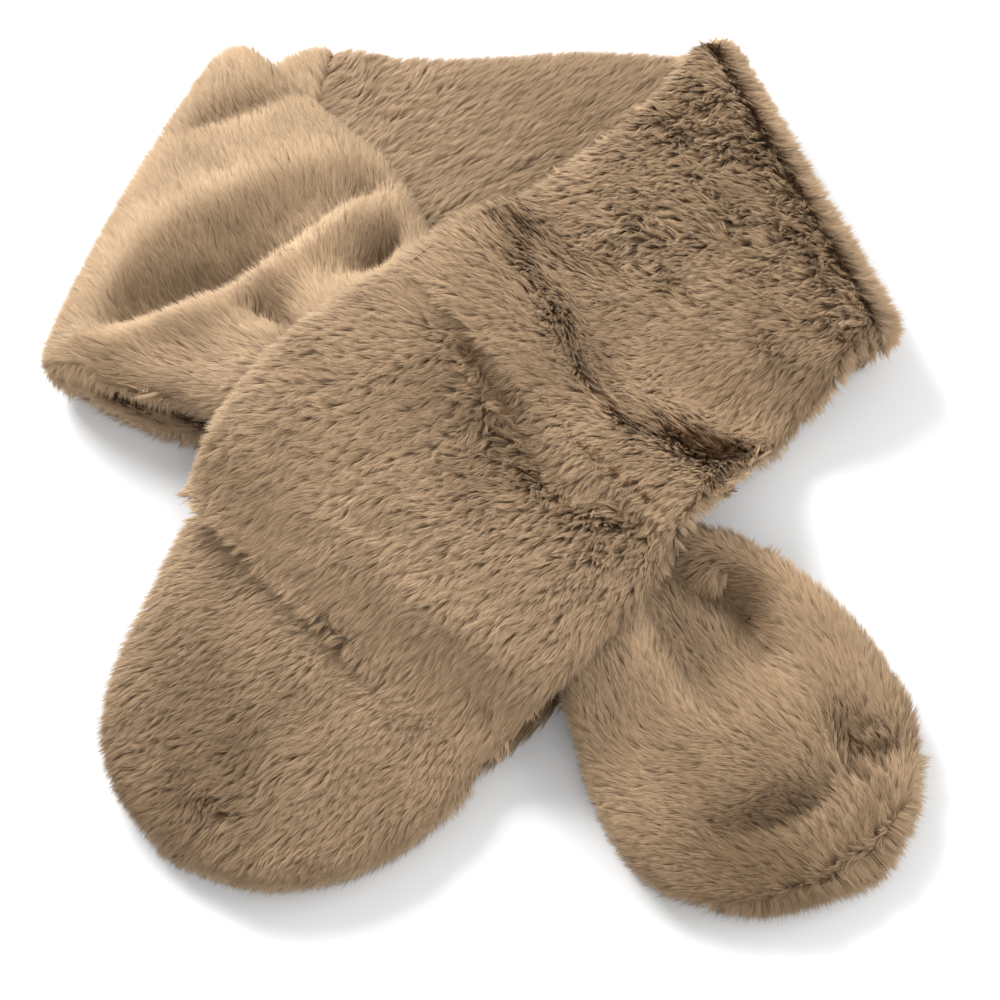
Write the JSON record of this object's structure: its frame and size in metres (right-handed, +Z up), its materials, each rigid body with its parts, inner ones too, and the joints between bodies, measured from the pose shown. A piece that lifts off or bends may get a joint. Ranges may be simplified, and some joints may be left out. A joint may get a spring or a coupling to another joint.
{
  "type": "fur collar wrap",
  "caption": "Long plush fur scarf with rounded ends, laid flat and wound once round, one end pulled through a slot in the other.",
  "frame": {"origin": "on the surface it rests on, under the middle of its outline", "axes": "+Z up, +Y towards the neck stretch at the back, +X towards the right fold"},
  "size_m": [0.3556, 0.3928, 0.0627],
  "materials": {
    "neck_fur": "plush fur pile",
    "right_fur": "plush fur pile",
    "left_fur": "plush fur pile"
  },
  "bodies": {
    "root": {"neck_stretch": "neck_fur", "left_front": "left_fur", "right_tail": "left_fur", "right_front": "right_fur", "slot_cover": "right_fur", "slot_base": "right_fur", "left_tail": "right_fur"}
  },
  "joints": []
}
